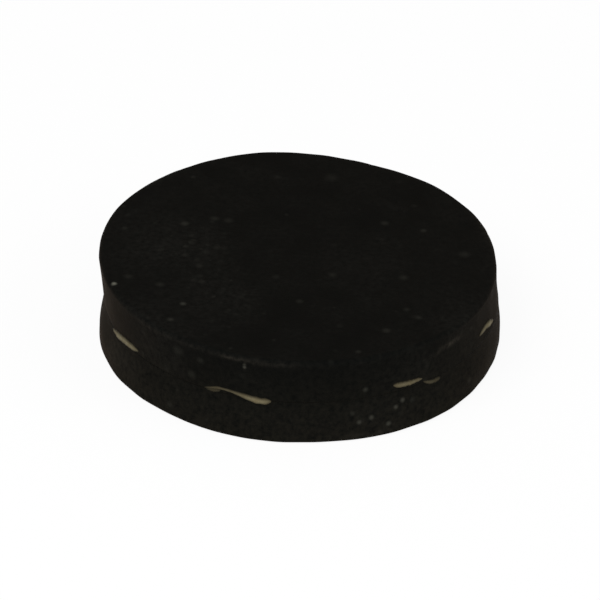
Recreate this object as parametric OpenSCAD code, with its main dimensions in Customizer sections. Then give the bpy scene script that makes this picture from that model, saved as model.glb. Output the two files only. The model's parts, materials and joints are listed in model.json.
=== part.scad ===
// Flat puck of two rubber discs cemented face to face, resting on the lower one.
// Millimetres, +Z up, origin at the middle of the underside, front towards -Y.
// The edge draws in at the joint, and dried cement stands out of it in short beads.

/* [Discs] */
// Diameter of the puck, over the rim of its upper disc
puck_d = 76.2; // [60:0.1:90]
// How much wider the lower disc is than the upper one
lower_extra = 0.4; // [0:0.05:1]
// Thickness of the upper disc at its middle
upper_t = 8.9; // [6:0.1:14]
// Thickness of the lower disc
lower_t = 8.9; // [6:0.1:14]
// Radius of the rounded outer rims
rim_r = 1; // [0.4:0.1:2]
// How far the edge draws in from the rim to the joint
waist = 0.5; // [0.2:0.05:1]

/* [Lie of the upper disc] */
// Lean of the upper disc in degrees, higher towards -X
top_lean = 1.5; // [0:0.1:2.5]
// Offset of the upper disc towards -X
upper_shift = 0.3; // [0:0.05:0.6]

/* [Cement] */
// Thickness of the cement film in the joint
film_t = 0.2; // [0.1:0.05:0.4]
// Set-back of the film from the edge of the joint
film_setback = 0.4; // [0.2:0.05:2]
// Height of a bead that was squeezed out of the joint
bead_h = 0.8; // [0.5:0.05:1.2]
// How far a bead stands out of the joint at its middle
bead_out = 0.35; // [0.2:0.05:0.5]
// How far a bead stands out of the joint at its two ends
bead_tip = 0.1; // [0.05:0.01:0.15]

/* [Beads at the front] */
// Direction of the right bead in degrees, counted from +X towards +Y
right_bead_angle = 341; // [334:0.5:352]
// Length of the right bead along the joint
right_bead_l = 6; // [4:0.5:10]
// Direction of the front right bead
front_right_bead_angle = 306; // [296:0.5:318]
// Length of the front right bead
front_right_bead_l = 10.5; // [4:0.5:12]
// Direction of the front left bead
front_left_bead_angle = 253; // [240:0.5:266]
// Length of the front left bead
front_left_bead_l = 13; // [4:0.5:16]
// Direction of the left bead
left_bead_angle = 209; // [196:0.5:218]
// Length of the left bead
left_bead_l = 8.5; // [4:0.5:14]

/* [Beads at the back] */
// Direction of the back left bead
back_left_bead_angle = 152; // [140:0.5:166]
// Length of the back left bead
back_left_bead_l = 8; // [4:0.5:14]
// Direction of the back bead
back_bead_angle = 99; // [86:0.5:112]
// Length of the back bead
back_bead_l = 12; // [4:0.5:16]
// Direction of the back right bead
back_right_bead_angle = 46; // [30:0.5:60]
// Length of the back right bead
back_right_bead_l = 7; // [4:0.5:14]

/* [Hidden] */
$fn = 128;
rubber_colour = [0.1, 0.1, 0.09];
cement_colour = [0.62, 0.55, 0.36];
lower_d = puck_d + lower_extra;
// Height of the middle of the joint, halfway through the film
joint_z = lower_t + film_t / 2;
// Radius of each disc where its edge meets the joint
upper_joint_r = puck_d / 2 - waist;
lower_joint_r = lower_d / 2 - waist;
// The film is a circle that stays inside both discs, halfway between their axes
film_r = upper_joint_r - upper_shift / 2 - film_setback;
// The leaning disc is made longer by this much, so that the joint's plane can cut it flat
upper_dip = puck_d / 2 * sin(top_lean) + film_t;
// Depth of a bead's flat root, enough to reach the film from anywhere in the joint's mouth
root_l = film_setback + 2 * upper_shift + bead_h + lower_extra / 2;
// Size of the tools that cut the discs and the beads, larger than the puck
cut_r = 2 * puck_d;

// Half of a disc's section, with its joint face at height 0 and its outer face at height t.
// The waist is an arc that stands upright at the joint and runs smoothly into the rim's arc.
module disc_section(d, t, dip) {
  rise = t - rim_r;
  span = (rise * rise + waist * waist) / (2 * waist);
  waist_r = span - rim_r;
  rim_c = [d / 2 - rim_r, rise];
  blend_a = atan2(rise, span - waist);
  blend = rim_c + rim_r * [cos(blend_a), -sin(blend_a)];
  difference() {
    union() {
      polygon([[0, -dip], [d / 2, -dip], blend, rim_c, [rim_c.x, t], [0, t]]);
      translate(rim_c) circle(rim_r);
    }
    translate([d / 2 - waist + waist_r, 0]) circle(waist_r);
  }
}

module disc(d, t, dip = 0) {
  rotate_extrude() disc_section(d, t, dip);
}

module upper_disc() {
  color(rubber_colour)
    translate([0, 0, lower_t + film_t]) intersection() {
      translate([-upper_shift, 0, 0]) rotate([0, top_lean, 0]) disc(puck_d, upper_t, upper_dip);
      cylinder(r = cut_r, h = 2 * upper_t);
    }
}

module lower_disc() {
  color(rubber_colour) translate([0, 0, lower_t]) mirror([0, 0, 1]) disc(lower_d, lower_t);
}

module film_cylinder(z, h) {
  translate([-upper_shift / 2, 0, z]) cylinder(r = film_r, h = h);
}

module cement_film() {
  color(cement_colour) film_cylinder(lower_t, film_t);
}

// Distance of the upper disc's joint edge from the origin's axis, in direction a
function upper_edge(a) = sqrt(upper_joint_r ^ 2 - (upper_shift * sin(a)) ^ 2) - upper_shift * cos(a);

// A bead of length l in direction a. It is a slim ring that is set off-centre, so that it swells
// towards its middle, cut to its length and less all that fills the joint. Its root reaches the film.
module bead(a, l) {
  mouth_r = max(upper_edge(a), lower_joint_r);
  mid_r = mouth_r + bead_out - bead_h / 2;
  end_r = mouth_r + bead_tip - bead_h / 2;
  half_a = l / mouth_r * 90 / PI;
  off = (mid_r ^ 2 - end_r ^ 2) / (2 * (mid_r - end_r * cos(half_a)));
  ring_r = mid_r - off;
  color(cement_colour)
    difference() {
      translate([0, 0, joint_z]) rotate(a) intersection() {
        translate([off, 0, 0]) rotate_extrude() {
          translate([ring_r, 0]) circle(bead_h / 2);
          translate([ring_r - root_l, -film_t / 2]) square([root_l, film_t]);
        }
        linear_extrude(2 * bead_h, center = true)
          polygon([[0, 0], [cut_r, -cut_r * tan(half_a)], [cut_r, cut_r * tan(half_a)]]);
      }
      film_cylinder(0, joint_z + upper_t);
      upper_disc();
      lower_disc();
    }
}

module bead_right() bead(right_bead_angle, right_bead_l);
module bead_front_right() bead(front_right_bead_angle, front_right_bead_l);
module bead_front_left() bead(front_left_bead_angle, front_left_bead_l);
module bead_left() bead(left_bead_angle, left_bead_l);
module bead_back_left() bead(back_left_bead_angle, back_left_bead_l);
module bead_back() bead(back_bead_angle, back_bead_l);
module bead_back_right() bead(back_right_bead_angle, back_right_bead_l);

upper_disc();
lower_disc();
cement_film();
bead_right();
bead_front_right();
bead_front_left();
bead_left();
bead_back_left();
bead_back();
bead_back_right();
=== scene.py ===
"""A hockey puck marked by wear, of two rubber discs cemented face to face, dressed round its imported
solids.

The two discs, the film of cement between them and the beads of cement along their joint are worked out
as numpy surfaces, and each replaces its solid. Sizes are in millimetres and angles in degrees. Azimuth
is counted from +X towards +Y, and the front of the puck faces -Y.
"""

import json
import logging
import math
from abc import ABC, abstractmethod
from dataclasses import astuple, dataclass
from enum import Enum

import bpy
import numpy as np
from mathutils import Matrix, Vector


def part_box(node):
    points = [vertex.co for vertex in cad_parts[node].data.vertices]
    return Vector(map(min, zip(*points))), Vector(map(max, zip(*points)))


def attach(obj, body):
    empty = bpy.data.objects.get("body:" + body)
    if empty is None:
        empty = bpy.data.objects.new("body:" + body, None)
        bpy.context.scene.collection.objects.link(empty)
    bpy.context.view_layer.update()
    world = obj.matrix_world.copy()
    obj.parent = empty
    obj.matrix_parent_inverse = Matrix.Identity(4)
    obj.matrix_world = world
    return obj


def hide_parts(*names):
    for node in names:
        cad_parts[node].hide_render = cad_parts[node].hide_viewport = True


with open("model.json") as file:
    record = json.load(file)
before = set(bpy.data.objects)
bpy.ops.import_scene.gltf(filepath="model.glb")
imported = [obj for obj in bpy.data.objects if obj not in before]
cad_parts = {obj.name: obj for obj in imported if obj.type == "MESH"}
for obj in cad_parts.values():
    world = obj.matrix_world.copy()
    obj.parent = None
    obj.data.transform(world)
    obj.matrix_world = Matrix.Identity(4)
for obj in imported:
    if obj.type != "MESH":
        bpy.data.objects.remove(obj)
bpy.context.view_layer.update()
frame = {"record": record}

log = logging.getLogger("puck")

Colour = tuple[float, float, float, float]
Place = tuple[float, float, float]

MM = 0.001
FULL_TURN = 2 * np.pi
QUARTER_TURN = np.pi / 2
BODY = "root"
WHITE: Colour = (1.0, 1.0, 1.0, 1.0)
FULL_BYTE = 255
SRGB_KNEE = 0.04045
SRGB_SLOPE = 12.92
SRGB_OFFSET = 0.055
SRGB_POWER = 2.4


def srgb(red: float, green: float, blue: float) -> Colour:
    """Turns a colour as it is seen into the light that a shader works with, by the sRGB curve.

    Args:
        red: red from 0 to 255, as a picture shows it.
        green: green from 0 to 255.
        blue: blue from 0 to 255.

    Returns:
        The linear colour, with an alpha of 1.
    """
    seen = np.array([red, green, blue]) / FULL_BYTE
    dark = seen / SRGB_SLOPE
    bright = ((seen + SRGB_OFFSET) / (1 + SRGB_OFFSET)) ** SRGB_POWER
    return (*np.where(seen <= SRGB_KNEE, dark, bright).tolist(), 1.0)


def polar(azimuth: np.ndarray, radius: np.ndarray) -> tuple[np.ndarray, np.ndarray]:
    """Turns azimuths in radians and radii into x and y."""
    return radius * np.cos(azimuth), radius * np.sin(azimuth)


def put(name: str, data: bpy.types.ID) -> bpy.types.Object:
    """Puts a mesh, lamp or camera into the scene.

    Args:
        name: name of its object.
        data: the mesh, lamp or camera.

    Returns:
        The object, at the origin.
    """
    thing = bpy.data.objects.new(name, data)
    bpy.context.scene.collection.objects.link(thing)
    return thing


class Half(Enum):
    """The two halves of the puck, with the direction from the joint to the outer face."""

    UPPER = 1
    LOWER = -1


class Slot(Enum):
    """The record's material slots."""

    RUBBER = "rubber"
    CEMENT = "cement"


class Layer(Enum):
    """Layers of a mesh that keep one number for each point, which a finish reads."""

    # Rubbing and painted highlights, which the rubber's finish lightens.
    WEAR_AND_HIGHLIGHT = "wear_and_highlight"
    COVER = "cover"


@dataclass
class Shell:
    """A closed surface: rings of points, with a fan to a single point at each end.

    Attributes:
        rows: points of the rings, as an array of (ring, step round the ring, xyz).
        poles: the two end points, before the first ring and after the last.
        values: one number for each point of the rings.
        pole_values: the same for the two end points.
        outward: whether the order of the rings and steps already gives faces that point outwards.
    """

    rows: np.ndarray
    poles: np.ndarray
    values: np.ndarray
    pole_values: tuple[float, float] = (0.0, 0.0)
    outward: bool = True

    def points(self) -> np.ndarray:
        """Gives the points of the rings, then the two end points."""
        return np.concatenate([self.rows.reshape(-1, 3), self.poles])

    def numbers(self) -> np.ndarray:
        """Gives the points' numbers, in the order of the points."""
        return np.concatenate([self.values.ravel(), self.pole_values])

    def faces(self) -> tuple[np.ndarray, np.ndarray]:
        """Joins the rings by four-sided faces and the ends by fans.

        Returns:
            The four-sided and the three-sided faces, as numbers of points.
        """
        rings, steps = self.rows.shape[:2]
        here = np.arange(rings * steps).reshape(rings, steps)
        after = np.roll(here, -1, axis=1)
        quads = np.stack([here[:-1], after[:-1], after[1:], here[1:]], axis=-1).reshape(-1, 4)
        first_pole = np.full(steps, rings * steps)
        first_fan = np.stack([first_pole, after[0], here[0]], axis=-1)
        last_fan = np.stack([first_pole + 1, here[-1], after[-1]], axis=-1)
        fans = np.concatenate([first_fan, last_fan])
        turn = 1 if self.outward else -1
        return quads[:, ::turn], fans[:, ::turn]


@dataclass
class Piece:
    """A dressed piece that stands for one solid of the puck.

    Attributes:
        node: name of the solid.
        state: what time has made of the piece, which ends its name.
        slot: the record's material slot that its finish belongs to.
        layer: layer that keeps the points' numbers.
        shells: the closed surfaces that it is made of.
    """

    node: str
    state: str
    slot: Slot
    layer: Layer
    shells: list[Shell]

    def mesh(self, name: str) -> bpy.types.Mesh:
        """Makes one mesh of the shells, in metres and smoothly shaded.

        Args:
            name: name of the mesh.

        Returns:
            The mesh.
        """
        parts = [shell.points() for shell in self.shells]
        firsts = np.cumsum([0] + [len(part) for part in parts])
        faces = [shell.faces() for shell in self.shells]
        quads = np.concatenate([four + first for (four, _), first in zip(faces, firsts)])
        fans = np.concatenate([three + first for (_, three), first in zip(faces, firsts)])
        corners = np.concatenate([quads.ravel(), fans.ravel()])
        starts = np.concatenate([np.arange(len(quads)) * 4, quads.size + np.arange(len(fans)) * 3])
        mesh = bpy.data.meshes.new(name)
        mesh.vertices.add(firsts[-1])
        mesh.vertices.foreach_set("co", np.concatenate(parts).ravel() * MM)
        mesh.loops.add(len(corners))
        mesh.loops.foreach_set("vertex_index", corners.astype(np.int32))
        mesh.polygons.add(len(starts))
        mesh.polygons.foreach_set("loop_start", starts.astype(np.int32))
        mesh.update(calc_edges=True)
        mesh.shade_smooth()
        layer = mesh.attributes.new(name=self.layer.value, type="FLOAT", domain="POINT")
        numbers = np.concatenate([shell.numbers() for shell in self.shells])
        layer.data.foreach_set("value", numbers.astype(np.float32))
        return mesh

    def place(self, finish: bpy.types.Material) -> bpy.types.Object:
        """Puts the piece into the scene in place of its solid.

        Args:
            finish: its material.

        Returns:
            The piece's object.
        """
        name = f"{self.node}_{self.state}"
        mesh = self.mesh(name)
        mesh.materials.append(finish)
        placed = put(name, mesh)
        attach(placed, BODY)
        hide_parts(self.node)
        return placed


@dataclass(frozen=True)
class Ripple:
    """Unevenness round the puck: a sum of sine waves with seeded phases.

    Attributes:
        depth: usual height of the ripple.
        fewest: least number of waves round the puck.
        most: greatest number of waves.
        pitch: greatest slant of a wave, in radians for each millimetre of height.
        seed: picks the phases and slants.
    """

    depth: float
    fewest: int
    most: int
    pitch: float
    seed: int

    def at(self, azimuth: np.ndarray, height: np.ndarray) -> np.ndarray:
        """Adds up sin(count * azimuth + slant * height + phase) over the counts, scaled to the depth.

        Args:
            azimuth: azimuths in radians.
            height: heights, in an array that fits the azimuths.

        Returns:
            The ripple's height at each place.
        """
        draw = np.random.default_rng(self.seed)
        total = np.zeros(np.broadcast(azimuth, height).shape)
        counts = range(self.fewest, self.most + 1)
        for count in counts:
            slant = draw.uniform(-self.pitch, self.pitch)
            phase = draw.uniform(0, FULL_TURN)
            total += np.sin(count * azimuth + slant * height + phase)
        return self.depth * total * math.sqrt(2 / len(counts))


@dataclass(frozen=True)
class FaceWaves:
    """Unevenness of a flat face: a sum of sine waves along seeded directions.

    Attributes:
        depth: greatest depth.
        count: number of waves.
        shortest: least wavelength.
        longest: greatest wavelength.
        seed: picks the directions, wavelengths and phases.
    """

    depth: float
    count: int = 6
    shortest: float = 9.0
    longest: float = 26.0
    seed: int = 10

    def at(self, x: np.ndarray, y: np.ndarray) -> np.ndarray:
        """Gives depth * (1 + mean of sin(2 pi * distance along the wave / wavelength + phase)) / 2.

        Args:
            x: places along X.
            y: places along Y.

        Returns:
            The depth at each place, which is never below 0.
        """
        draw = np.random.default_rng(self.seed)
        total = np.zeros(np.broadcast(x, y).shape)
        for _ in range(self.count):
            way = draw.uniform(0, np.pi)
            length = draw.uniform(self.shortest, self.longest)
            phase = draw.uniform(0, FULL_TURN)
            total += np.sin((x * math.cos(way) + y * math.sin(way)) * FULL_TURN / length + phase)
        return self.depth * (1 + total / self.count) / 2


@dataclass(frozen=True)
class Lobe:
    """Part of a rim's departure from a true circle.

    Attributes:
        count: number of bulges round the rim.
        depth: height of the bulges.
        azimuth: direction of one of them.
    """

    count: int
    depth: float
    azimuth: float

    def at(self, azimuth: np.ndarray) -> np.ndarray:
        """Gives depth * cos(count * (angle from the bulge))."""
        return self.depth * np.cos(self.count * (azimuth - math.radians(self.azimuth)))


@dataclass(frozen=True)
class EdgePatch:
    """A small place on a disc's edge, whose strength falls off as a bell curve along the edge and up it.

    Attributes:
        azimuth: direction of its middle.
        height: height of its middle, from the joint towards the outer face.
        width: half its width along the edge, or infinity for the whole way round.
        rise: half its height.
        strength: depth of a nick, or the share that shows of a scuff or a painted highlight.
    """

    azimuth: float
    height: float
    width: float
    rise: float
    strength: float

    def at(self, azimuth: np.ndarray, height: np.ndarray, radius: float) -> np.ndarray:
        """Gives strength * exp(-(distance along / width)^2 - (distance up / rise)^2).

        Args:
            azimuth: azimuths in radians.
            height: heights from the joint towards the outer face.
            radius: radius that turns azimuths into distances.

        Returns:
            The strength at each place.
        """
        turn = (azimuth - math.radians(self.azimuth) + np.pi) % FULL_TURN - np.pi
        along = turn * radius / self.width
        up = (height - self.height) / self.rise
        return self.strength * np.exp(-(along**2) - up**2)


class Spot(ABC):
    """A round spot of dust on a disc, with a radius and a share that it covers at its centre."""

    radius: float
    cover: float

    @abstractmethod
    def centre(self, disc: "RubberDisc") -> Place:
        """Gives the spot's centre on a disc."""


@dataclass(frozen=True)
class FaceSpot(Spot):
    """A spot on a disc's outer face, by the X and Y of its centre."""

    x: float
    y: float
    radius: float
    cover: float

    def centre(self, disc: "RubberDisc") -> Place:
        """Gives the spot's centre on a disc."""
        return (self.x, self.y, float(disc.lifted(self.x, disc.thickness)))


@dataclass(frozen=True)
class EdgeSpot(Spot):
    """A spot on a disc's edge, by the azimuth of its centre and the height from the joint."""

    azimuth: float
    height: float
    radius: float
    cover: float

    def centre(self, disc: "RubberDisc") -> Place:
        """Gives the spot's centre on a disc."""
        return tuple(disc.on_edge(np.radians(self.azimuth), np.array(self.height)).tolist())


@dataclass(frozen=True)
class Joint:
    """The joint that the discs, the film and the beads share.

    Attributes:
        radius: radius of the edge at the joint.
        x: where the centre of that circle lies along X.
        z: height of the middle of the joint.
        gap: half the joint's thickness.
        lip: radius of the discs' eased edges at the joint.
    """

    radius: float
    x: float
    z: float
    gap: float
    lip: float = 0.02


@dataclass(kw_only=True)
class RubberDisc(ABC):
    """One of the two rubber discs, with the sizes of its shape after wear.

    Attributes:
        node: name of the solid that it stands for.
        half: which half of the puck it is.
        joint: the joint that it lies against.
        thickness: from the middle of the joint to the outer face, at the middle.
        solid_radius: radius of the solid's rim.
        rim_worn: what wear has taken off that radius.
        rim_x: where the centre of the rim's circle lies along X.
        lean: lean of the outer face, higher towards -X.
        fillet: radius of the rounded rim.
        lobes: departure of the rim from a true circle.
        edge_ripple: unevenness of the edge.
        fillet_ripple: unevenness of the rim's radius.
        waves: unevenness of the outer face.
        nicks: dents in the edge.
        scuffs_and_highlights: places on the edge that rubbing has lightened, and painted highlights on
            the rim and the edge.
        patches: places where dust lies thick.
        specks: single specks of dust.
        drift: power by which the edge's centre moves from the joint's to the rim's.
        rim_fade: power that fades nicks and scuffs from the rim towards the middle of a face.
        wave_fade: power that fades the outer face's waves from that face towards the joint.
        around: steps round the disc.
        joint_shares: radius of each ring of the joint face, as a share of the edge's.
        lip_steps: rings of the eased edge at the joint.
        wall_steps: rings up the edge.
        rim_steps: rings of the rounded rim.
        face_steps: rings of the outer face.
        face_spacing: power that spaces those rings, which lie closest near the rim.
    """

    node: str
    half: Half
    joint: Joint
    thickness: float
    solid_radius: float
    rim_worn_and_lit: float
    rim_x: float
    lean: float
    lobes: tuple[Lobe, ...]
    edge_ripple: Ripple
    fillet_ripple: Ripple
    waves: FaceWaves
    nicks: tuple[EdgePatch, ...]
    scuffs_and_highlights: tuple[EdgePatch, ...]
    patches: tuple[Spot, ...]
    specks: tuple[Spot, ...]
    fillet: float = 1.0
    drift: float = 0.8
    rim_fade: int = 80
    wave_fade: int = 4
    around: int = 768
    joint_shares: tuple[float, ...] = (0.3, 0.9, 0.99)
    lip_steps: int = 4
    wall_steps: int = 40
    rim_steps: int = 14
    face_steps: int = 32
    face_spacing: float = 0.8

    @abstractmethod
    def widening(self, rise: np.ndarray) -> np.ndarray:
        """Gives how far the edge has widened, from 0 at the joint to 1 at the foot of the rim.

        Args:
            rise: heights from the joint, as a share of the height of the rim's foot.

        Returns:
            The share of the widening at each height.
        """

    def rise(self, height: np.ndarray) -> np.ndarray:
        """Gives heights from the joint as a share of the height of the rim's foot."""
        return height / (self.thickness - self.fillet)

    def edge_radius(self, azimuth: np.ndarray, height: np.ndarray) -> np.ndarray:
        """Gives the radius of the edge, about its own centre at that height.

        The radius goes from the joint's to the rim's by the widening, which also weighs the rim's lobes.
        The edge's ripple is added, and fades out towards the joint.

        Args:
            azimuth: azimuths in radians.
            height: heights from the joint towards the outer face.

        Returns:
            The radius at each place.
        """
        rim = self.solid_radius - self.rim_worn_and_lit + sum(lobe.at(azimuth) for lobe in self.lobes)
        spread = (rim - self.joint.radius) * self.widening(self.rise(height))
        fade = np.minimum(height / self.fillet, 1)
        return self.joint.radius + spread + fade * self.edge_ripple.at(azimuth, height)

    def centre_x(self, height: np.ndarray) -> np.ndarray:
        """Gives the X of the edge's centre, which drifts by a power of the height up to the rim."""
        share = np.minimum(self.rise(height), 1) ** self.drift
        return self.joint.x + (self.rim_x - self.joint.x) * share

    def lifted(self, x: np.ndarray, height: np.ndarray) -> np.ndarray:
        """Gives z from the height, where the lean grows evenly from the joint to the outer face."""
        slope = math.tan(math.radians(self.lean))
        return self.joint.z + self.half.value * height - slope * x * height / self.thickness

    def on_edge(self, azimuth: np.ndarray, height: np.ndarray) -> np.ndarray:
        """Gives points of the edge between the joint and the rim.

        Args:
            azimuth: azimuths in radians.
            height: heights from the joint towards the outer face.

        Returns:
            The points, with xyz on a last axis.
        """
        x, y = polar(azimuth, self.edge_radius(azimuth, height))
        x = x + self.centre_x(height)
        return np.stack([x, y, self.lifted(x, height)], axis=-1)

    def patched(
        self, patches: tuple[EdgePatch, ...], azimuth: np.ndarray, height: np.ndarray
    ) -> np.ndarray:
        """Adds up patches of the edge.

        Args:
            patches: nicks, or scuff marks with painted highlights.
            azimuth: azimuths in radians.
            height: heights from the joint towards the outer face.

        Returns:
            Their strength at each place.
        """
        return sum(patch.at(azimuth, height, self.solid_radius) for patch in patches)

    def section(self, azimuth: np.ndarray) -> tuple[np.ndarray, np.ndarray, np.ndarray]:
        """Gives the disc's half section, carried round the azimuths.

        It runs over the joint face, the eased lip, the edge, the rounded rim and the outer face. The
        radius of a place is a share of the edge's radius less an inset. The share grows across the joint
        face, is 1 up the edge and shrinks across the outer face. The inset rounds the lip and the rim by
        quarter circles.

        Args:
            azimuth: azimuths in radians, in a row.

        Returns:
            The height, the inset and the share, each as an array of (ring, azimuth).
        """
        lip, fillet = self.joint.lip, self.fillet + self.fillet_ripple.at(azimuth, np.zeros(1))
        low, high = self.joint.gap + lip, self.thickness - fillet
        lip_turn = np.linspace(QUARTER_TURN, 0, self.lip_steps)[:, None]
        up_wall = np.linspace(0, 1, self.wall_steps)[1:, None]
        rim_turn = np.linspace(0, QUARTER_TURN, self.rim_steps)[1:, None]
        face_turn = np.linspace(0, QUARTER_TURN, self.face_steps + 1)[1:-1, None]
        stretches = (
            (self.joint.gap, lip, np.array(self.joint_shares)[:, None]),
            (low - lip * np.sin(lip_turn), lip * (1 - np.cos(lip_turn)), 1.0),
            (low + (high - low) * up_wall, 0.0, 1.0),
            (high + fillet * np.sin(rim_turn), fillet * (1 - np.cos(rim_turn)), 1.0),
            (self.thickness, fillet, np.cos(face_turn) ** self.face_spacing),
        )
        rings = [np.broadcast_arrays(*stretch, azimuth)[:3] for stretch in stretches]
        height, inset, share = (np.concatenate(part) for part in zip(*rings))
        return height, inset, share

    def surface(self) -> Shell:
        """Works out the disc as rings, from the middle of its joint face to that of its outer face.

        Each ring is the section at one height, set about the edge's centre there. The nicks add to the
        section's inset, and the waves sink the outer face.

        Returns:
            The shell, with the scuff marks and painted highlights as its numbers.
        """
        azimuth = np.linspace(0, FULL_TURN, self.around, endpoint=False)[None, :]
        height, inset, share = self.section(azimuth)
        near_rim = share**self.rim_fade
        dent = near_rim * self.patched(self.nicks, azimuth, height)
        x, y = polar(azimuth, share * (self.edge_radius(azimuth, height) - inset - dent))
        x = x + self.centre_x(height)
        pole_height = np.array([self.joint.gap, self.thickness])
        pole_x, pole_y = self.centre_x(pole_height), np.zeros(2)
        return Shell(
            rows=np.stack([x, y, self.sunk(x, y, height)], axis=-1),
            poles=np.stack([pole_x, pole_y, self.sunk(pole_x, pole_y, pole_height)], axis=-1),
            values=near_rim * self.patched(self.scuffs_and_highlights, azimuth, height),
            outward=self.half is Half.UPPER,
        )

    def sunk(self, x: np.ndarray, y: np.ndarray, height: np.ndarray) -> np.ndarray:
        """Gives z from the height, with the outer face's waves, which fade towards the joint.

        Args:
            x: places along X.
            y: places along Y.
            height: heights from the joint towards the outer face.

        Returns:
            The z at each place.
        """
        depth = self.waves.at(x, y) * (height / self.thickness) ** self.wave_fade
        return self.lifted(x, height) - self.half.value * depth

    def piece(self) -> Piece:
        """Gives the disc, after wear, as a piece."""
        return Piece(self.node, "worn_and_lit", Slot.RUBBER, Layer.WEAR_AND_HIGHLIGHT, [self.surface()])


@dataclass(kw_only=True)
class UpperDisc(RubberDisc):
    """The upper disc, which leans, lies a little to the left and flares out near its rim."""

    node: str = "upper_disc"
    half: Half = Half.UPPER
    rim_worn_and_lit: float = 0.37
    rim_x: float = -0.35
    lobes: tuple[Lobe, ...] = (
        Lobe(3, 0.06, 14.5),
        Lobe(4, 0.085, 29.5),
        Lobe(5, 0.095, 31.5),
        Lobe(6, 0.08, -22.5),
    )
    edge_ripple: Ripple = Ripple(depth=0.025, fewest=9, most=40, pitch=0.5, seed=11)
    fillet_ripple: Ripple = Ripple(depth=0.08, fewest=3, most=14, pitch=0.0, seed=12)
    waves: FaceWaves = FaceWaves(depth=0.04)
    nicks: tuple[EdgePatch, ...] = (
        EdgePatch(255.2, 7.6, 0.35, 0.9, 0.12),
        EdgePatch(231.0, 8.3, 0.8, 0.5, 0.1),
        EdgePatch(294.0, 8.2, 0.5, 0.6, 0.1),
        EdgePatch(128.0, 8.2, 0.7, 0.6, 0.12),
        EdgePatch(68.0, 8.4, 0.5, 0.5, 0.1),
        EdgePatch(17.0, 8.0, 0.6, 0.7, 0.1),
    )
    # Places lightened by rubbing, with painted highlight: the run of patches along the front-left of the
    # rim paints the rim's highlight line.
    scuffs_and_highlights: tuple[EdgePatch, ...] = (
        EdgePatch(0.0, 8.3, math.inf, 0.55, 0.05),
        EdgePatch(236.0, 8.3, 26.0, 0.55, 0.07),
        EdgePatch(224.0, 8.0, 6.0, 0.45, 0.1),
        EdgePatch(239.0, 8.2, 4.0, 0.4, 0.1),
        EdgePatch(250.2, 8.2, 1.2, 0.3, 0.6),
        EdgePatch(253.2, 8.2, 1.8, 0.26, 0.4),
        EdgePatch(258.5, 8.2, 3.0, 0.5, 0.3),
        EdgePatch(265.5, 8.2, 3.2, 0.5, 0.16),
        EdgePatch(255.2, 7.05, 0.35, 0.8, 0.4),
        EdgePatch(314.0, 5.3, 1.6, 0.6, 0.22),
        EdgePatch(320.0, 5.9, 2.4, 0.6, 0.8),
        EdgePatch(20.0, 8.7, 5.0, 0.25, 0.5),
        EdgePatch(61.0, 8.7, 7.0, 0.22, 0.4),
        EdgePatch(112.0, 6.6, 3.0, 0.6, 0.3),
        EdgePatch(139.0, 8.7, 6.0, 0.25, 0.5),
    )
    patches: tuple[Spot, ...] = (
        FaceSpot(-24.0, 2.0, 18.0, 1.0),
        FaceSpot(-17.0, -16.0, 16.0, 0.9),
        FaceSpot(14.0, -2.0, 16.0, 0.4),
        EdgeSpot(222.0, 5.0, 14.0, 1.0),
        EdgeSpot(306.0, 2.5, 8.5, 1.0),
        EdgeSpot(328.0, 5.0, 12.0, 0.8),
    )
    specks: tuple[Spot, ...] = (
        FaceSpot(-34.8, -12.9, 0.78, 0.75),
        FaceSpot(-21.7, -18.9, 0.9, 0.15),
        FaceSpot(-22.0, 9.5, 1.2, 0.08),
        FaceSpot(-23.9, -24.6, 0.95, 0.08),
        FaceSpot(-16.4, 11.8, 1.3, 0.05),
        FaceSpot(16.4, -25.3, 1.2, 0.06),
        FaceSpot(23.4, 10.6, 0.95, 0.06),
        FaceSpot(16.0, 12.7, 1.2, 0.055),
        FaceSpot(22.4, -20.3, 1.0, 0.05),
        FaceSpot(19.6, -6.5, 1.4, 0.045),
        FaceSpot(6.2, -6.5, 1.2, 0.04),
        FaceSpot(31.1, 2.7, 1.7, 0.04),
        FaceSpot(5.8, 28.5, 2.1, 0.03),
        FaceSpot(0.1, -16.4, 1.1, 0.045),
        FaceSpot(20.2, -17.7, 1.0, 0.04),
        FaceSpot(-13.7, 11.3, 1.4, 0.04),
        FaceSpot(-15.8, 1.4, 1.2, 0.035),
        FaceSpot(-18.9, -5.3, 1.1, 0.04),
        FaceSpot(-18.4, -10.9, 1.0, 0.04),
        FaceSpot(-26.2, -12.5, 1.3, 0.05),
        FaceSpot(-32.2, -10.2, 1.3, 0.045),
        FaceSpot(11.2, -33.0, 0.85, 0.055),
        EdgeSpot(255.2, 7.25, 0.5, 0.16),
        EdgeSpot(255.2, 6.75, 0.5, 0.26),
        EdgeSpot(289.5, 1.85, 0.8, 0.12),
        EdgeSpot(233.8, 6.0, 1.8, 0.05),
        EdgeSpot(241.6, 5.8, 1.1, 0.055),
        EdgeSpot(237.9, 2.0, 1.4, 0.05),
    )

    def widening(self, rise: np.ndarray) -> np.ndarray:
        """Gives the square of the rise, so that the edge flares out near the rim."""
        return rise**2


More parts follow.
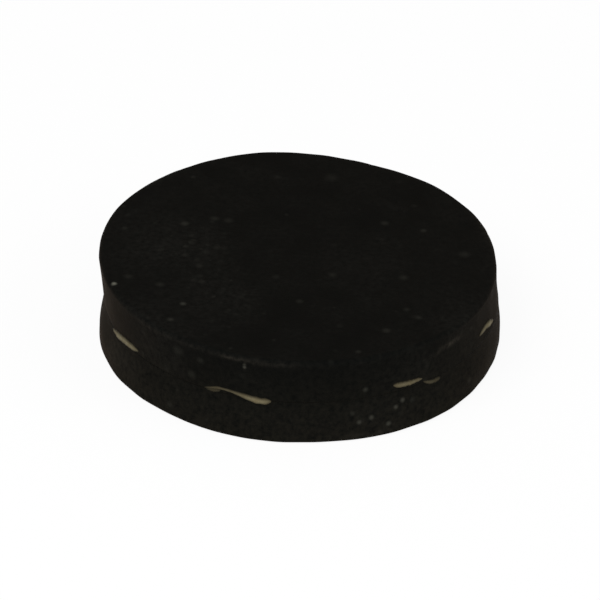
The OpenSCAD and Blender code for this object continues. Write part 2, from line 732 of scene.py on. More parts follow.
@dataclass(kw_only=True)
class LowerDisc(RubberDisc):
    """The lower disc, which lies flat and is wider, with an edge that swells out soon below the joint.

    Attributes:
        swell_end: share of the rise at which the edge has reached its full width.
    """

    node: str = "lower_disc"
    half: Half = Half.LOWER
    rim_worn_and_lit: float = 0.24
    rim_x: float = 0.28
    lean: float = 0.0
    lobes: tuple[Lobe, ...] = (
        Lobe(3, 0.065, -46.5),
        Lobe(4, 0.07, 36.0),
        Lobe(5, 0.02, 33.0),
        Lobe(6, 0.135, 11.5),
    )
    edge_ripple: Ripple = Ripple(depth=0.025, fewest=9, most=40, pitch=0.5, seed=21)
    fillet_ripple: Ripple = Ripple(depth=0.08, fewest=3, most=14, pitch=0.0, seed=22)
    waves: FaceWaves = FaceWaves(depth=0.0)
    nicks: tuple[EdgePatch, ...] = (
        EdgePatch(283.0, 7.9, 0.7, 0.6, 0.1),
        EdgePatch(239.0, 8.2, 0.6, 0.5, 0.1),
        EdgePatch(141.0, 8.0, 0.6, 0.7, 0.12),
        EdgePatch(33.0, 8.2, 0.8, 0.5, 0.1),
    )
    # The first paints light on the left end of the edge; the others are places lightened by rubbing.
    scuffs_and_highlights: tuple[EdgePatch, ...] = (
        EdgePatch(203.0, 4.2, 7.0, 3.2, 0.3),
        EdgePatch(291.0, 7.9, 8.0, 0.6, 0.2),
        EdgePatch(85.0, 8.2, 7.0, 0.5, 0.3),
        EdgePatch(160.0, 8.0, 6.0, 0.6, 0.3),
    )
    patches: tuple[Spot, ...] = (
        EdgeSpot(292.0, 5.0, 9.0, 0.8),
        EdgeSpot(215.0, 5.0, 12.0, 0.5),
    )
    specks: tuple[Spot, ...] = (
        EdgeSpot(300.8, 2.2, 0.75, 0.21),
        EdgeSpot(298.5, 3.2, 0.7, 0.19),
        EdgeSpot(291.0, 4.3, 0.75, 0.18),
        EdgeSpot(287.4, 4.9, 0.75, 0.18),
        EdgeSpot(296.2, 6.3, 0.8, 0.22),
        EdgeSpot(304.0, 2.8, 0.9, 0.06),
        EdgeSpot(285.4, 2.9, 0.8, 0.07),
        EdgeSpot(230.5, 6.3, 1.2, 0.05),
    )
    swell_end: float = 0.75

    def widening(self, rise: np.ndarray) -> np.ndarray:
        """Gives 3 step^2 - 2 step^3, where the step goes evenly from 0 to 1 at the end of the swell."""
        step = np.clip(rise / self.swell_end, 0, 1)
        return step**2 * (3 - 2 * step)


@dataclass(frozen=True)
class CementFilm:
    """The film of cement that fills the joint, flush with the edge and dirty there.

    Attributes:
        node: name of the solid that it stands for.
        shares: radius of each ring, as a share of the joint's radius, from the lower face to the upper.
        levels: height of each ring, as a share of half the joint's thickness.
        covers: how clean the cement is on each ring.
        slack: what keeps the film's faces clear of the discs' faces.
        around: steps round the film.
    """

    node: str = "cement_film"
    shares: tuple[float, ...] = (0.6, 0.99, 0.9995, 0.9992, 0.9995, 0.99, 0.6)
    levels: tuple[float, ...] = (-1.0, -1.0, -1.0, 0.0, 1.0, 1.0, 1.0)
    covers: tuple[float, ...] = (1.0, 0.5, 0.005, 0.005, 0.005, 0.5, 1.0)
    slack: float = 0.003
    around: int = 384

    def surface(self, disc: RubberDisc) -> Shell:
        """Works out the film as rings of the joint's outline, drawn in by their shares.

        Args:
            disc: the disc whose joint face the film lies on.

        Returns:
            The shell, with the covers as its numbers.
        """
        joint = disc.joint
        azimuth = np.linspace(0, FULL_TURN, self.around, endpoint=False)[None, :]
        share, level, cover = (np.array(row)[:, None] for row in (self.shares, self.levels, self.covers))
        x, y = polar(azimuth, share * disc.edge_radius(azimuth, np.zeros(1)))
        z = joint.z + (joint.gap - self.slack) * level
        rows = np.stack(np.broadcast_arrays(x + joint.x, y, z), axis=-1)
        poles = np.array([[joint.x, 0, z[0, 0]], [joint.x, 0, z[-1, 0]]])
        return Shell(rows, poles, np.broadcast_to(cover, x.shape), pole_values=(1.0, 1.0))

    def piece(self, disc: RubberDisc) -> Piece:
        """Gives the dried film on a disc's joint face as a piece."""
        return Piece(self.node, "dried", Slot.CEMENT, Layer.COVER, [self.surface(disc)])


@dataclass(frozen=True)
class Station:
    """A place along a run of cement.

    Attributes:
        azimuth: direction of the place.
        height: height above the middle of the joint.
        half_width: half the run's width there.
        proud: how far the run stands out of the edge there.
        cover: how thick and clean the cement is there, from 0 to 1.
    """

    azimuth: float
    height: float
    half_width: float
    proud: float
    cover: float


Run = tuple[Station, ...]


@dataclass(frozen=True)
class CementBead:
    """Cement that was squeezed out of the joint and dried on the edge, in one or more runs.

    Attributes:
        node: name of the solid that it stands for.
        seed: picks the lumps along the runs.
        runs: the runs, each a row of stations from one end to the other.
        root: how far a run reaches into the edge.
        bluntness: power that keeps a run full up to its ends.
        lumps: height of the lumps, as a share of the run's width and height.
        fewest_lumps: least number of lumps along a run.
        most_lumps: greatest number of lumps.
        margin_cover: share of the cover that is left at a run's margins.
        thinning: power by which the cover thins out with the dome's height.
        along: rings along a run.
        across: steps round a run.
    """

    node: str
    seed: int
    runs: tuple[Run, ...]
    root: float = 0.12
    bluntness: int = 8
    lumps: float = 0.06
    fewest_lumps: int = 2
    most_lumps: int = 9
    margin_cover: float = 0.1
    thinning: int = 3
    along: int = 96
    across: int = 20

    @staticmethod
    def stretch(run: Run, share: np.ndarray) -> np.ndarray:
        """Carries the stations' numbers along a run by a smooth curve through them.

        Between two stations each number follows the cubic whose slope at a station is half the step from
        the station before it to the station after it. Past the ends the run goes on straight.

        Args:
            run: the stations.
            share: places along the run, from 0 to 1.

        Returns:
            The five numbers of a station, each as a row over the places.
        """
        knots = np.array([astuple(station) for station in run])
        knots = np.concatenate([2 * knots[:1] - knots[1:2], knots, 2 * knots[-1:] - knots[-2:-1]])
        place = share * (len(run) - 1)
        span = np.minimum(place.astype(int), len(run) - 2)
        part = (place - span)[:, None]
        before, start, end, after = (knots[span + step] for step in range(4))
        leaving, arriving = (end - before) / 2, (after - start) / 2
        from_start = (1 - part) ** 2 * ((1 + 2 * part) * start + part * leaving)
        to_end = part**2 * ((3 - 2 * part) * end + (part - 1) * arriving)
        return (from_start + to_end).T

    def surface(self, run: Run, discs: dict[Half, RubberDisc], seed: int) -> Shell:
        """Works out one run as rings of a low dome that lies on the edge.

        The section is a flat oval, carried along the run's line on the edge: its outer half rises by the
        proud height and its inner half reaches the root's depth into the rubber. Its width and height
        shrink to nothing at the two ends, and seeded lumps swell them in between. The cover thins out
        towards the margins.

        Args:
            run: the stations of the run.
            discs: the two discs, whose edges carry the run.
            seed: picks the lumps.

        Returns:
            The shell, with the cover as its numbers.
        """
        share = np.linspace(0, 1, self.along)[:, None]
        azimuth, height, half_width, proud, cover = self.stretch(run, share[:, 0])[:, :, None]
        radius = discs[Half.UPPER].joint.radius
        arc = np.radians(azimuth) * radius
        step_along, step_up = np.gradient(arc, axis=0), np.gradient(height, axis=0)
        step = np.hypot(step_along, step_up)
        lump = Ripple(self.lumps, self.fewest_lumps, self.most_lumps, 0.0, seed)
        taper = np.sqrt(1 - np.abs(2 * share - 1) ** self.bluntness)
        swell = taper * (1 + lump.at(share * FULL_TURN, np.zeros(1)))
        turn = np.linspace(0, FULL_TURN, self.across, endpoint=False)[None, :]
        out, side = np.sin(turn), np.cos(turn) * half_width * swell
        lift = out * np.where(out > 0, proud * swell, self.root * taper)
        arc_at = arc - step_up / step * side
        height_at = height + step_along / step * side
        points = self.on_puck(arc_at / radius, height_at, lift, discs)
        margin = self.margin_cover + (1 - self.margin_cover) * np.clip(out, 0, 1) ** self.thinning
        values = np.clip(cover * taper, 0, 1) * margin
        return Shell(points[1:-1], points[[0, -1]].mean(axis=1), values[1:-1])

    @staticmethod
    def on_puck(
        azimuth: np.ndarray, height: np.ndarray, lift: np.ndarray, discs: dict[Half, RubberDisc]
    ) -> np.ndarray:
        """Gives points on the puck's edge, lifted straight out from it.

        Args:
            azimuth: azimuths in radians.
            height: heights above the middle of the joint, negative on the lower disc.
            lift: how far each point stands out.
            discs: the two discs.

        Returns:
            The points, with xyz on a last axis.
        """
        above = discs[Half.UPPER].on_edge(azimuth, np.maximum(height, 0))
        below = discs[Half.LOWER].on_edge(azimuth, np.maximum(-height, 0))
        points = np.where((height > 0)[..., None], above, below)
        outward = np.stack([np.cos(azimuth), np.sin(azimuth), np.zeros_like(azimuth)], axis=-1)
        return points + lift[..., None] * outward

    def piece(self, discs: dict[Half, RubberDisc]) -> Piece:
        """Gives the dried bead on the edges of the two discs as a piece."""
        shells = [self.surface(run, discs, self.seed + number) for number, run in enumerate(self.runs)]
        return Piece(self.node, "dried", Slot.CEMENT, Layer.COVER, shells)


@dataclass
class NodeSheet:
    """A node tree that is being drawn up.

    Attributes:
        tree: the tree.
    """

    tree: bpy.types.NodeTree

    def add(self, kind: str, inputs: dict | None = None, **settings: object) -> bpy.types.Node:
        """Adds a node, sets its settings, and sets or links its inputs.

        Args:
            kind: the node's type, without its ShaderNode prefix.
            inputs: for each input, by name or number, a value or a socket to link from.
            **settings: the node's own properties.

        Returns:
            The node.
        """
        node = self.tree.nodes.new("ShaderNode" + kind)
        for name, value in settings.items():
            setattr(node, name, value)
        for key, value in (inputs or {}).items():
            if isinstance(value, bpy.types.NodeSocket):
                self.tree.links.new(value, node.inputs[key])
            else:
                node.inputs[key].default_value = value
        return node

    def math(self, operation: str, first: object, second: object) -> bpy.types.NodeSocket:
        """Adds an operation on two values, each a number or a socket, and gives its result."""
        return self.add("Math", {0: first, 1: second}, operation=operation).outputs[0]

    def span(self, value: object, low: float, high: float) -> bpy.types.NodeSocket:
        """Spreads a value from 0 to 1 over the range from low to high."""
        return self.add("MapRange", {"Value": value, "To Min": low, "To Max": high}).outputs["Result"]

    def share(
        self, value: object, start: object, end: object, shape: str = "LINEAR"
    ) -> bpy.types.NodeSocket:
        """Gives how far a value has come from a start to an end, from 0 to 1.

        Args:
            value: the value, a number or a socket.
            start: value that gives 0.
            end: value that gives 1.
            shape: shape of the way from 0 to 1, as the node names it.

        Returns:
            The socket of the share.
        """
        inputs = {"Value": value, "From Min": start, "From Max": end}
        return self.add("MapRange", inputs, interpolation_type=shape).outputs["Result"]

    def blend(self, share: object, base: object, over: object) -> bpy.types.NodeSocket:
        """Lays one colour over another by a share, and gives the blended colour."""
        inputs = {"Factor": share, "A": base, "B": over}
        return self.add("Mix", inputs, data_type="RGBA").outputs["Result"]


class Effects:
    """Node groups for the effects that the finishes share, each built once.

    Attributes:
        mottle: cloudy mottling.
        grain: fine grain.
        specks: sparse specks at random places.
        spot: one soft spot.
    """

    NOISE_RANGE = (0.3, 0.7)
    MOTTLE_DETAIL = 5.0
    MOTTLE_ROUGHNESS = 0.6
    GRAIN_DETAIL = 3.0

    def __init__(self) -> None:
        """Builds the groups."""
        self.mottle = self.build_mottle()
        self.grain = self.build_grain()
        self.specks = self.build_specks()
        self.spot = self.build_spot()

    @staticmethod
    def start(
        name: str, inputs: dict[str, str], output: str
    ) -> tuple[NodeSheet, dict, bpy.types.NodeSocket]:
        """Starts a group with named sockets, of which the first gives places.

        Args:
            name: name of the group.
            inputs: kind of each further input socket, by name: Float or Vector.
            output: name of its one output, a number.

        Returns:
            The sheet, the input sockets by name, and the socket that takes the result.
        """
        tree = bpy.data.node_groups.new(name, "ShaderNodeTree")
        inputs = {"Position": "Vector", **inputs}
        for socket, kind in inputs.items():
            tree.interface.new_socket(socket, in_out="INPUT", socket_type="NodeSocket" + kind)
        tree.interface.new_socket(output, in_out="OUTPUT", socket_type="NodeSocketFloat")
        entry, end = tree.nodes.new("NodeGroupInput"), tree.nodes.new("NodeGroupOutput")
        return NodeSheet(tree), {socket: entry.outputs[socket] for socket in inputs}, end.inputs[output]

    def build_mottle(self) -> bpy.types.NodeTree:
        """Builds cloudy mottling: layered noise, spread over the whole range from 0 to 1.

        Returns:
            The group.
        """
        sheet, given, result = self.start("mottle", {"Scale": "Float"}, "Amount")
        inputs = {
            "Vector": given["Position"],
            "Scale": given["Scale"],
            "Detail": self.MOTTLE_DETAIL,
            "Roughness": self.MOTTLE_ROUGHNESS,
        }
        noise = sheet.add("TexNoise", inputs)
        sheet.tree.links.new(sheet.share(noise.outputs["Fac"], *self.NOISE_RANGE), result)
        return sheet.tree

    def build_grain(self) -> bpy.types.NodeTree:
        """Builds fine grain: the distance in a field of cells, softened by noise of the same scale.

        Returns:
            The group.
        """
        sheet, given, result = self.start("grain", {"Scale": "Float"}, "Height")
        inputs = {"Vector": given["Position"], "Scale": given["Scale"]}
        cells = sheet.add("TexVoronoi", inputs, feature="SMOOTH_F1")
        noise = sheet.add("TexNoise", {**inputs, "Detail": self.GRAIN_DETAIL})
        total = sheet.math("ADD", cells.outputs["Distance"], noise.outputs["Fac"])
        sheet.tree.links.new(total, result)
        return sheet.tree

    def build_specks(self) -> bpy.types.NodeTree:
        """Builds sparse specks: a dot in those cells of a field whose random number passes the rarity.

        Returns:
            The group.
        """
        inputs = {"Scale": "Float", "Radius": "Float", "Rarity": "Float"}
        sheet, given, result = self.start("specks", inputs, "Amount")
        cells = sheet.add("TexVoronoi", {"Vector": given["Position"], "Scale": given["Scale"]})
        chance, size, strength = sheet.add("SeparateColor", {"Color": cells.outputs["Color"]}).outputs
        chosen = sheet.math("GREATER_THAN", chance, given["Rarity"])
        radius = sheet.math("MULTIPLY", given["Radius"], size)
        dot = sheet.share(cells.outputs["Distance"], radius, 0.0, "SMOOTHSTEP")
        faint = sheet.math("MULTIPLY", dot, strength)
        sheet.tree.links.new(sheet.math("MULTIPLY", faint, chosen), result)
        return sheet.tree

    def build_spot(self) -> bpy.types.NodeTree:
        """Builds one soft spot: 1 at its centre, falling smoothly to 0 at its radius.

        Returns:
            The group.
        """
        sheet, given, result = self.start("spot", {"Centre": "Vector", "Radius": "Float"}, "Amount")
        ends = {0: given["Position"], 1: given["Centre"]}
        distance = sheet.add("VectorMath", ends, operation="DISTANCE").outputs["Value"]
        sheet.tree.links.new(sheet.share(distance, given["Radius"], 0.0, "SMOOTHSTEP"), result)
        return sheet.tree


@dataclass
class Paint:
    """A material that is being drawn up, which reads places in millimetres.

    Attributes:
        material: the material.
        sheet: its node tree.
        shader: its shader.
        places: socket that gives places in millimetres.
    """

    material: bpy.types.Material
    sheet: NodeSheet
    shader: bpy.types.Node
    places: bpy.types.NodeSocket

    @classmethod
    def start(cls, name: str, constants: dict[str, object]) -> "Paint":
        """Starts a material.

        Args:
            name: name of the material.
            constants: values of those sockets of its shader that stay the same all over.

        Returns:
            The started material.
        """
        material = bpy.data.materials.new(name)
        material.use_nodes = True
        sheet = NodeSheet(material.node_tree)
        shader = sheet.tree.nodes["Principled BSDF"]
        for socket, value in constants.items():
            shader.inputs[socket].default_value = value
        metres = sheet.add("TexCoord").outputs["Object"]
        mapping = sheet.add("Mapping", {"Vector": metres, "Scale": (1 / MM, 1 / MM, 1 / MM)})
        return cls(material, sheet, shader, mapping.outputs["Vector"])

    def effect(self, group: bpy.types.NodeTree, **values: object) -> bpy.types.NodeSocket:
        """Lays an effect's group over the material's places, and gives its result."""
        return self.sheet.add("Group", {"Position": self.places, **values}, node_tree=group).outputs[0]

    def layer(self, layer: Layer) -> bpy.types.NodeSocket:
        """Gives the numbers that a layer of the mesh keeps."""
        return self.sheet.add("Attribute", attribute_name=layer.value).outputs["Fac"]

    def finish(
        self,
        colour: bpy.types.NodeSocket,
        roughness: bpy.types.NodeSocket,
        height: bpy.types.NodeSocket,
        depth: float,
    ) -> bpy.types.Material:
        """Links the finished effects to the shader.

        Args:
            colour: socket of the colour.
            roughness: socket of the roughness.
            height: socket of the grain's height.
            depth: depth of the grain.

        Returns:
            The material.
        """
        bump = self.sheet.add("Bump", {"Height": height, "Distance": depth * MM})
        links = self.sheet.tree.links
        links.new(colour, self.shader.inputs["Base Color"])
        links.new(roughness, self.shader.inputs["Roughness"])
        links.new(bump.outputs["Normal"], self.shader.inputs["Normal"])
        return self.material


@dataclass(frozen=True)
class Sprinkle:
    """Specks of dust at random places.

    Attributes:
        scale: cells of the random field to a millimetre.
        radius: radius of the largest specks, in cells.
        rarity: share of the cells that stay empty.
        cover: how much the strongest specks cover.
    """

    scale: float
    radius: float
    rarity: float
    cover: float

    def lay(self, paint: Paint, effects: Effects) -> bpy.types.NodeSocket:
        """Lays the specks over a material, and gives their strength from 0 to 1."""
        return paint.effect(effects.specks, Scale=self.scale, Radius=self.radius, Rarity=self.rarity)


@dataclass(frozen=True)
class RubberFinish:
    """Dull black rubber with mottling, dust, places lightened by rubbing, painted highlights, painted
    light low on the edge and fine grain.

    Attributes:
        bottom_light_fades_at: height above the floor at which the painted light low on the edge, with
            its dust, fades to nothing.
        black: colour of clean rubber.
        haze: colour of rubber under a film of dust.
        bottom_light_and_dust: colour of the edge low down, which grows lighter towards the bottom:
            painted light, with dust that lies there.
        worn_and_lit: colour of rubber lightened by rubbing, which also paints highlights on the rim and
            light on the left end of the edge.
        dust: colour of a speck of dust.
        sheen: colour of the dust's sheen at a slant.
        sheen_weight: strength of that sheen.
        sheen_roughness: spread of that sheen.
        gloss: specular level.
        smooth: least roughness.
        rough: greatest roughness.
        cloud_scale: scale of the large mottling.
        cloud_haze: greatest share of haze in the mottling.
        patch_haze: greatest share of haze where dust lies thick.
        fleck_scale: scale of the fine mottling.
        unevenness: range over which the fine mottling weighs settled dust and wear.
        grain_scale: scale of the grain.
        grain_depth: depth of the grain.
        fine: specks where dust lies thick.
        stray: specks all over.
    """

    bottom_light_fades_at: float
    black: Colour = srgb(10.1, 11.1, 10.3)
    haze: Colour = srgb(26, 26, 24)
    # Painted light low on the edge, with dust.
    bottom_light_and_dust: Colour = srgb(25, 23.8, 20)
    # Also paints highlights on the rim and light on the left end of the edge.
    worn_and_lit: Colour = srgb(46, 43, 38)
    dust: Colour = srgb(104, 103, 93)
    sheen: Colour = srgb(255, 204, 152)
    sheen_weight: float = 0.026
    sheen_roughness: float = 0.4
    gloss: float = 0.004
    smooth: float = 0.55
    rough: float = 0.7
    cloud_scale: float = 0.12
    cloud_haze: float = 0.4
    patch_haze: float = 0.5
    fleck_scale: float = 1.0
    unevenness: tuple[float, float] = (0.1, 1.4)
    grain_scale: float = 2.2
    grain_depth: float = 0.02
    fine: Sprinkle = Sprinkle(scale=0.7, radius=0.9, rarity=0.4, cover=0.045)
    stray: Sprinkle = Sprinkle(scale=0.25, radius=0.3, rarity=0.3, cover=0.06)

    def build(self, disc: RubberDisc, effects: Effects) -> bpy.types.Material:
        """Draws up the rubber's nodes for one disc.

        Args:
            disc: the disc, whose dust is drawn.
            effects: the shared node groups.

        Returns:
            The material.
        """
        constants = {
            "Specular IOR Level": self.gloss,
            "Sheen Weight": self.sheen_weight,
            "Sheen Roughness": self.sheen_roughness,
            "Sheen Tint": self.sheen,
        }
        paint = Paint.start(f"rubber_{disc.half.name.lower()}", constants)
        sheet = paint.sheet
        cloud = paint.effect(effects.mottle, Scale=self.cloud_scale)
        fleck = paint.effect(effects.mottle, Scale=self.fleck_scale)
        grain = paint.effect(effects.grain, Scale=self.grain_scale)
        uneven = sheet.span(fleck, *self.unevenness)
        height = sheet.add("SeparateXYZ", {"Vector": paint.places}).outputs["Z"]
        # Painted light and dust: the edge grows lighter towards the bottom.
        bottom_light_and_dust = sheet.math("MULTIPLY", sheet.share(height, self.bottom_light_fades_at, 0.0), uneven)
        # Rubbing and painted highlights, from the mesh's layer.
        rubbed_and_lit = sheet.math("MULTIPLY", paint.layer(Layer.WEAR_AND_HIGHLIGHT), uneven)
        thick = self.strongest(paint, effects, disc, disc.patches)
        clouds = sheet.span(cloud, 0.0, self.cloud_haze)
        haze = sheet.math("ADD", clouds, sheet.span(thick, 0.0, self.patch_haze))
        fine_cover = sheet.span(thick, 0.0, self.fine.cover)
        fine = sheet.math("MULTIPLY", self.fine.lay(paint, effects), fine_cover)
        stray = sheet.math("MULTIPLY", self.stray.lay(paint, effects), self.stray.cover)
        specks = self.strongest(paint, effects, disc, disc.specks)
        dust = sheet.math("MAXIMUM", sheet.math("MAXIMUM", fine, stray), specks)

        colour = sheet.blend(sheet.math("MULTIPLY", fleck, haze), self.black, self.haze)
        # Painted light low on the edge, with dust.
        colour = sheet.blend(bottom_light_and_dust, colour, self.bottom_light_and_dust)
        # Rubbing and painted highlights on the rim and the left end of the edge.
        colour = sheet.blend(rubbed_and_lit, colour, self.worn_and_lit)
        colour = sheet.blend(dust, colour, self.dust)
        return paint.finish(colour, sheet.span(fleck, self.smooth, self.rough), grain, self.grain_depth)

    @staticmethod
    def strongest(
        paint: Paint, effects: Effects, disc: RubberDisc, spots: tuple[Spot, ...]
    ) -> bpy.types.NodeSocket | float:
        """Gives the strongest of some spots at each place.

        Args:
            paint: the material.
            effects: the shared node groups.
            disc: the disc that the spots lie on.
            spots: the spots.

        Returns:
            The socket of the result, or 0 where there are no spots.
        """
        total = 0.0
        for spot in spots:
            amount = paint.effect(effects.spot, Centre=spot.centre(disc), Radius=spot.radius)
            total = paint.sheet.math("MAXIMUM", paint.sheet.math("MULTIPLY", amount, spot.cover), total)
        return total


@dataclass(frozen=True)
class CementFinish:
    """Dried tan rubber cement, greyed by dirt where it is thin.

    Attributes:
        name: name of the material.
        tan: colour of thick clean cement.
        amber: colour in its darker patches.
        grime: colour where it is thin and dirty.
        gloss: specular level.
        smooth: least roughness.
        rough: greatest roughness.
        patch_scale: scale of the darker patches.
        grain_scale: scale of the grain.
        grain_depth: depth of the grain.
    """

    name: str = "dried_cement"
    tan: Colour = srgb(117, 110, 87.5)
    amber: Colour = srgb(105, 95, 71)
    grime: Colour = srgb(16, 15, 12.7)
    gloss: float = 0.012
    smooth: float = 0.42
    rough: float = 0.6
    patch_scale: float = 0.7
    grain_scale: float = 3.0
    grain_depth: float = 0.03

    def build(self, effects: Effects) -> bpy.types.Material:
        """Draws up the cement's nodes.

        Args:
            effects: the shared node groups.

        Returns:
            The material.
        """
        paint = Paint.start(self.name, {"Specular IOR Level": self.gloss})
        sheet = paint.sheet
        patch = paint.effect(effects.mottle, Scale=self.patch_scale)
        grain = paint.effect(effects.grain, Scale=self.grain_scale)
        colour = sheet.blend(patch, self.tan, self.amber)
        colour = sheet.blend(paint.layer(Layer.COVER), self.grime, colour)
        return paint.finish(colour, sheet.span(patch, self.smooth, self.rough), grain, self.grain_depth)


@dataclass(frozen=True)
class Lamp:
    """A soft square lamp.

    Attributes:
        name: name of the lamp.
        azimuth: direction that it stands in.
        elevation: its height above the horizon, as seen from the puck.
        distance: its distance.
        side: length of its sides.
        level: the light it throws on a face that looks at it, where 1 shows a colour as written.
    """

    name: str
    azimuth: float
    elevation: float
    distance: float
    side: float
    level: float

    def hang(self, target: Vector) -> bpy.types.Object:
        """Hangs the lamp so that it faces the target.

        Args:
            target: the point it faces, in metres.

        Returns:
            The lamp's object.
        """
        azimuth, elevation = math.radians(self.azimuth), math.radians(self.elevation)
        level = math.cos(elevation)
        towards = Vector((math.cos(azimuth) * level, math.sin(azimuth) * level, math.sin(elevation)))
        light = bpy.data.lights.new(self.name, "AREA")
        light.shape = "SQUARE"
        light.size = self.side * MM
        light.energy = self.level * (math.pi * self.distance * MM) ** 2
        lamp = put(self.name, light)
        lamp.location = target + towards * self.distance * MM
        lamp.rotation_euler = towards.to_track_quat("Z", "Y").to_euler()
        return lamp


@dataclass
class Studio:
    """The plain white floor, the soft light and the camera at the photograph's viewpoint.

    Attributes:
        aim: the middle of the puck's joint, in metres.
        elevation: the camera's height above the horizon.
        roll: how far the picture is turned clockwise.
        distance: from the camera to the middle of the joint.
        pixels_per_mm: scale of the photograph at the middle of the joint.
        aim_pixel: where the photograph shows the middle of the joint.
        picture: width and height of the photograph, in pixels.
        floor_side: length of the floor's sides.
        floor_drop: how far the floor lies under the puck.
        floor_glow: share of the floor's look that is plain white, without the shadow.
        paper: colour of the floor.
        sky: level of the even light from all round.
        lamps: the lamps.
    """

    aim: Vector
    elevation: float = 32.36
    roll: float = 1.14
    distance: float = 1500.0
    pixels_per_mm: float = 5.269
    aim_pixel: tuple[float, float] = (299.2, 295.0)
    picture: float = 600.0
    floor_side: float = 12000.0
    floor_drop: float = 0.02
    floor_glow: float = 0.92
    paper: Colour = (0.9, 0.9, 0.9, 1.0)
    sky: float = 0.5
    lamps: tuple[Lamp, ...] = (
        Lamp("key", azimuth=232, elevation=54, distance=900, side=600, level=0.6),
        Lamp("fill", azimuth=335, elevation=32, distance=1100, side=700, level=0.32),
    )

    def lay_floor(self) -> bpy.types.Object:
        """Lays the pale floor, which shows as white and keeps the puck's shadow.

        Returns:
            The floor's object.
        """
        half, z = self.floor_side / 2 * MM, -self.floor_drop * MM
        corners = [(-half, -half, z), (half, -half, z), (half, half, z), (-half, half, z)]
        mesh = bpy.data.meshes.new("floor")
        mesh.from_pydata(corners, [], [(0, 1, 2, 3)])
        mesh.materials.append(self.floor_finish())
        floor = put("floor", mesh)
        return floor

    def floor_finish(self) -> bpy.types.Material:
        """Draws up the floor's nodes: pale paper that is partly plain white to rays that look at it.

        Returns:
            The material.
        """
        material = bpy.data.materials.new("floor")
        material.use_nodes = True
        sheet = NodeSheet(material.node_tree)
        sheet.tree.nodes.remove(sheet.tree.nodes["Principled BSDF"])
        path = sheet.add("LightPath").outputs
        looking = sheet.math("MAXIMUM", path["Is Camera Ray"], path["Is Glossy Ray"])
        looking = sheet.math("MAXIMUM", looking, path["Is Transmission Ray"])
        glow = sheet.math("MULTIPLY", looking, self.floor_glow)
        paper = sheet.add("BsdfDiffuse", {"Color": self.paper}).outputs[0]
        white = sheet.add("Emission", {"Color": WHITE, "Strength": 1.0}).outputs[0]
        mix = sheet.add("MixShader", {0: glow, 1: paper, 2: white}).outputs[0]
        sheet.tree.links.new(mix, sheet.tree.nodes["Material Output"].inputs["Surface"])
        return material

    def light(self) -> None:
        """Sets the even white sky and hangs the lamps."""
        world = bpy.data.worlds.new("sky")
        world.use_nodes = True
        background = world.node_tree.nodes["Background"]
        background.inputs["Color"].default_value = WHITE
        background.inputs["Strength"].default_value = self.sky
        bpy.context.scene.world = world
        for lamp in self.lamps:
            lamp.hang(self.aim)

    def set_camera(self) -> bpy.types.Object:
        """Sets the camera so that the middle of the joint falls on its pixel.

        Returns:
            The camera's object.
        """
        elevation, roll = math.radians(self.elevation), math.radians(self.roll)
        ahead = Vector((0, math.cos(elevation), -math.sin(elevation)))
        level, upright = Vector((1, 0, 0)), Vector((0, math.sin(elevation), math.cos(elevation)))
        right = level * math.cos(roll) + upright * math.sin(roll)
        up = upright * math.cos(roll) - level * math.sin(roll)
        across = (self.picture / 2 - self.aim_pixel[0]) / self.pixels_per_mm * MM
        down = (self.picture / 2 - self.aim_pixel[1]) / self.pixels_per_mm * MM
        place = self.aim + right * across - up * down - ahead * self.distance * MM
        data = bpy.data.cameras.new("camera")
        data.lens = data.sensor_width * self.pixels_per_mm * self.distance / self.picture
        data.clip_end = self.floor_side * MM
        camera = put("camera", data)
        turn = Matrix((right, up, -ahead)).transposed()
        camera.matrix_world = Matrix.Translation(place) @ turn.to_4x4()
        bpy.context.scene.camera = camera
        return camera


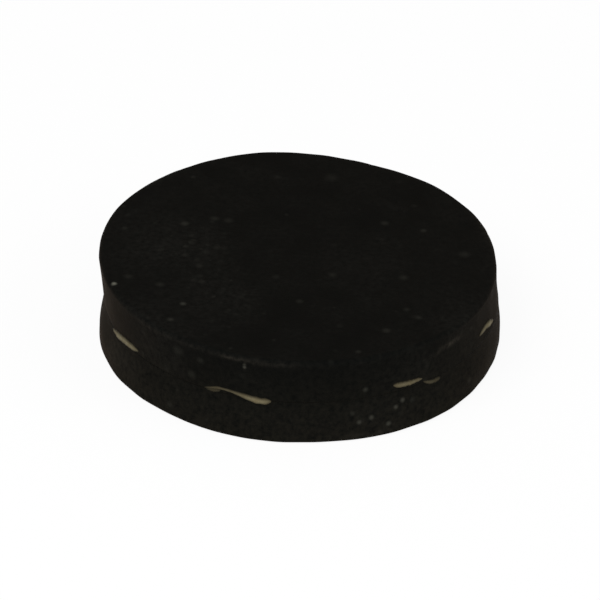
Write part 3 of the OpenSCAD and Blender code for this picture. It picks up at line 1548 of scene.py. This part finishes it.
@dataclass
class Puck:
    """The whole puck: two discs, the film of cement between them and the beads along the joint.

    Attributes:
        joint_z: height of the middle of the joint.
        gap: half the joint's thickness.
        top_z: height of the middle of the top face.
        lean: lean of the top face.
        upper_r: radius of the upper solid.
        lower_r: radius of the lower solid.
        waist: how far the edge draws in from the upper solid's rim to the joint.
        joint_x: where the centre of the joint lies along X.
        face_worn: what wear has taken off the top face.
    """

    joint_z: float
    gap: float
    top_z: float
    lean: float
    upper_r: float
    lower_r: float
    waist: float = 0.69
    joint_x: float = 0.42
    face_worn_and_lit: float = 0.01

    @classmethod
    def from_frame(cls) -> "Puck":
        """Reads the puck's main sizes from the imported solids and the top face's mount.

        Returns:
            The puck.
        """
        film_low, film_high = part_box("cement_film")
        upper_low, upper_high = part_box("upper_disc")
        lower_low, lower_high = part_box("lower_disc")
        top = next(mount for mount in frame["record"]["mounts"] if mount["name"] == "top_face")
        return cls(
            joint_z=(film_low.z + film_high.z) / 2 / MM,
            gap=(film_high.z - film_low.z) / 2 / MM,
            top_z=top["pos_m"][2] / MM,
            lean=math.degrees(math.atan2(top["axis"][0], top["axis"][2])),
            upper_r=(upper_high.y - upper_low.y) / 2 / MM,
            lower_r=(lower_high.y - lower_low.y) / 2 / MM,
        )

    def discs(self) -> dict[Half, RubberDisc]:
        """Lays out the two discs.

        Returns:
            The discs by half.
        """
        joint = Joint(radius=self.upper_r - self.waist, x=self.joint_x, z=self.joint_z, gap=self.gap)
        upper_t = self.top_z - self.face_worn_and_lit - self.joint_z
        upper = UpperDisc(joint=joint, thickness=upper_t, solid_radius=self.upper_r, lean=self.lean)
        lower = LowerDisc(joint=joint, thickness=self.joint_z, solid_radius=self.lower_r)
        return {disc.half: disc for disc in (upper, lower)}

    @staticmethod
    def beads() -> list[CementBead]:
        """Lays out the beads: four in view, from the photograph, and three of like form behind.

        Returns:
            The beads.
        """
        right = (
            Station(334.4, 2.11, 0.38, 0.1, 0.35),
            Station(336.6, 2.29, 0.6, 0.18, 0.6),
            Station(339.4, 2.37, 0.75, 0.25, 0.77),
            Station(342.6, 1.89, 0.78, 0.27, 0.88),
            Station(345.0, 1.29, 0.58, 0.18, 0.6),
            Station(346.6, 0.94, 0.33, 0.1, 0.3),
        )
        front_right = (
            Station(298.0, 1.47, 0.53, 0.22, 0.6),
            Station(300.5, 1.17, 0.65, 0.28, 0.7),
            Station(303.7, 1.0, 0.62, 0.28, 0.7),
            Station(306.4, 1.02, 0.44, 0.18, 0.58),
            Station(307.9, 0.87, 0.22, 0.08, 0.4),
        )
        front_right_smear = (
            Station(308.0, 0.16, 0.22, 0.05, 0.18),
            Station(309.6, -0.39, 0.4, 0.1, 0.3),
            Station(311.6, -0.74, 0.5, 0.12, 0.28),
            Station(314.6, -0.74, 0.52, 0.1, 0.2),
        )
        front_left = (
            Station(241.6, 0.12, 0.2, 0.06, 0.16),
            Station(243.6, 0.42, 0.3, 0.1, 0.28),
            Station(245.6, 0.77, 0.35, 0.12, 0.38),
            Station(247.4, 0.91, 0.32, 0.13, 0.41),
            Station(250.1, 0.85, 0.33, 0.15, 0.41),
            Station(252.7, 0.55, 0.5, 0.24, 0.6),
            Station(256.5, -0.01, 0.68, 0.3, 0.93),
            Station(259.3, -0.23, 0.79, 0.33, 1.0),
            Station(262.1, -0.03, 0.71, 0.28, 0.85),
        )
        front_left_knot = (
            Station(242.3, 0.0, 0.25, 0.05, 0.11),
            Station(244.4, 0.12, 0.46, 0.1, 0.22),
            Station(245.9, 0.29, 0.41, 0.09, 0.2),
            Station(247.0, 0.5, 0.22, 0.05, 0.15),
        )
        left = (
            Station(198.9, -0.55, 0.3, 0.1, 0.5),
            Station(203.8, -0.15, 0.76, 0.28, 0.88),
            Station(208.5, 0.35, 0.84, 0.3, 0.92),
            Station(212.5, 0.55, 0.74, 0.26, 0.88),
            Station(216.3, 0.8, 0.45, 0.14, 0.65),
        )
        back_left = (
            Station(145.8, 0.3, 0.25, 0.12, 0.5),
            Station(149.6, 0.1, 0.56, 0.28, 1.0),
            Station(154.0, -0.25, 0.6, 0.3, 0.95),
            Station(158.0, -0.2, 0.25, 0.12, 0.5),
        )
        back = (
            Station(89.9, -0.4, 0.5, 0.26, 0.9),
            Station(94.0, -0.2, 0.65, 0.32, 1.0),
            Station(98.5, 0.3, 0.45, 0.22, 0.85),
            Station(103.4, 0.5, 0.28, 0.14, 0.6),
            Station(108.0, 0.1, 0.38, 0.1, 0.35),
        )
        back_right = (
            Station(40.7, -0.2, 0.25, 0.12, 0.4),
            Station(44.2, 0.25, 0.53, 0.26, 0.95),
            Station(48.0, 0.4, 0.55, 0.28, 1.0),
            Station(51.3, 0.2, 0.25, 0.12, 0.5),
        )
        return [
            CementBead("bead_right", 31, (right,)),
            CementBead("bead_front_right", 41, (front_right, front_right_smear)),
            CementBead("bead_front_left", 51, (front_left, front_left_knot)),
            CementBead("bead_left", 61, (left,)),
            CementBead("bead_back_left", 71, (back_left,)),
            CementBead("bead_back", 81, (back,)),
            CementBead("bead_back_right", 91, (back_right,)),
        ]

    def build(self) -> list[bpy.types.Object]:
        """Builds and dresses every piece.

        Returns:
            The pieces.
        """
        effects = Effects()
        rubber = RubberFinish(bottom_light_fades_at=self.top_z)
        cement = CementFinish().build(effects)
        discs = self.discs()
        pieces = [disc.piece().place(rubber.build(disc, effects)) for disc in discs.values()]
        pieces.append(CementFilm().piece(discs[Half.UPPER]).place(cement))
        return pieces + [bead.piece(discs).place(cement) for bead in self.beads()]


def main() -> None:
    """Builds the puck and the studio, and reports each piece."""
    logging.basicConfig(level=logging.INFO, format="%(name)s: %(message)s")
    bpy.context.scene.view_settings.view_transform = "Standard"
    puck = Puck.from_frame()
    for piece in puck.build():
        log.info("%s: %d faces", piece.name, len(piece.data.polygons))
    studio = Studio(aim=Vector((0, 0, puck.joint_z * MM)))
    studio.lay_floor()
    studio.light()
    studio.set_camera()


if __name__ == "__main__":
    main()
